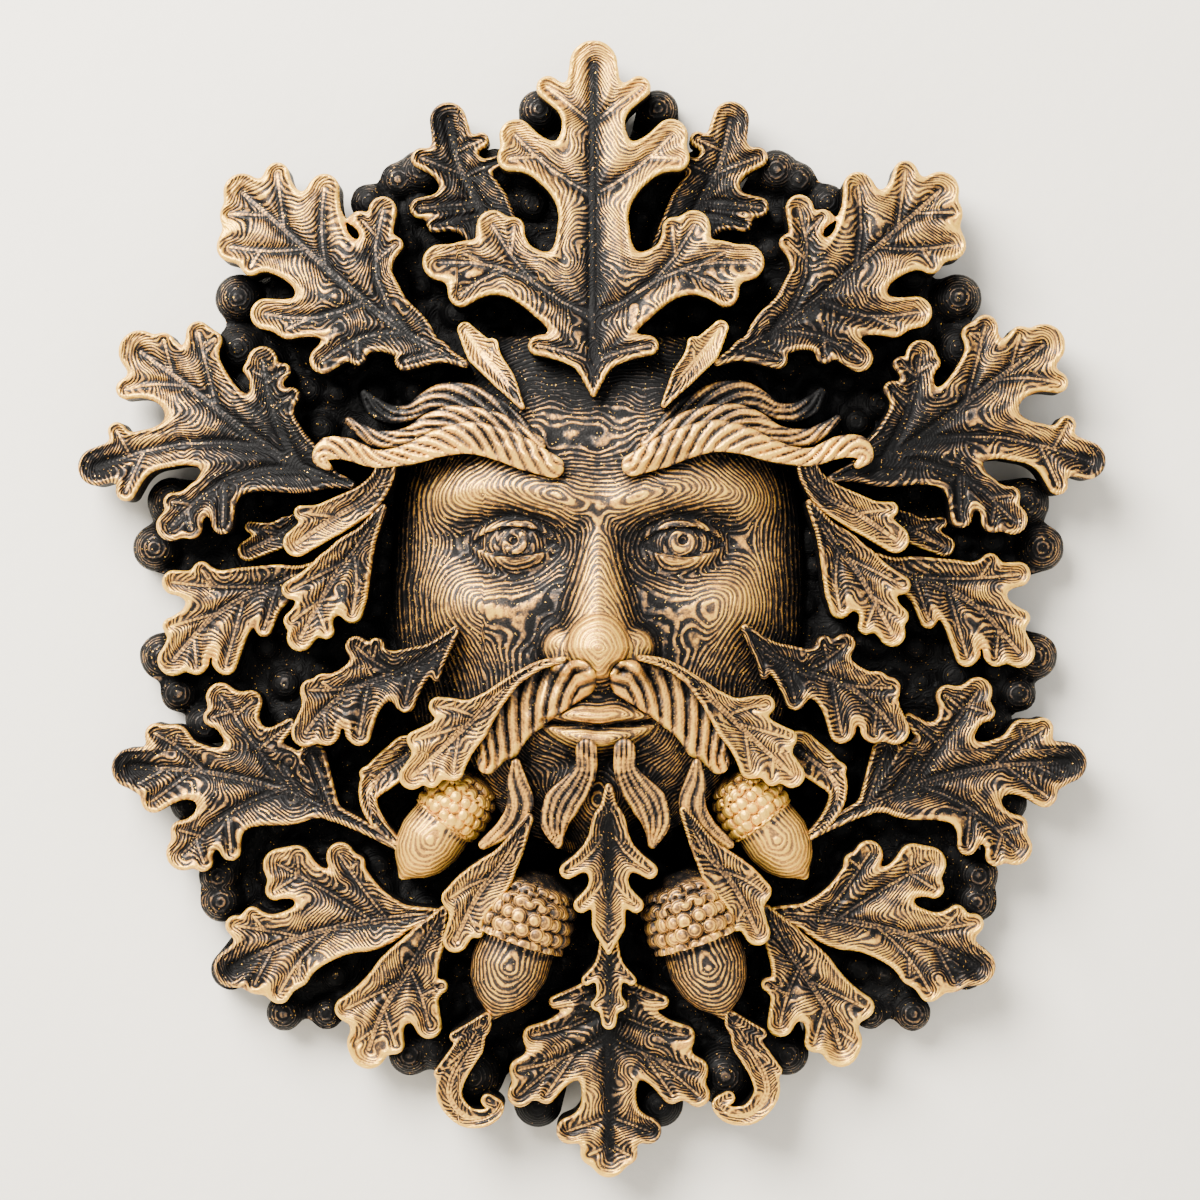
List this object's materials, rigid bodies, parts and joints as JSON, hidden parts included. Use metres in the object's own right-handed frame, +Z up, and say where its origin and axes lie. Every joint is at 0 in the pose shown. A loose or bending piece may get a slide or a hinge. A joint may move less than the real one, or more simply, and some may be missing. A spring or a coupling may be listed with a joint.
{
  "type": "green man mask",
  "caption": "Round wall plaque of a leafy face: oak leaves, acorns, leaf brows, moustache and beard grow around a calm face.",
  "frame": {"origin": "on the flat back, on the mask's middle line and halfway up, where it meets the wall", "axes": "+Z up, +X to the right of someone looking at the mask, -Y out of the face, +Y into the wall"},
  "size_m": [0.226, 0.0398, 0.25],
  "materials": {
    "bronzed_print": "black base coat, dry-brushed antique bronze, satin"
  },
  "bodies": {
    "root": {"green_man_plaque": "bronzed_print"}
  },
  "joints": []
}
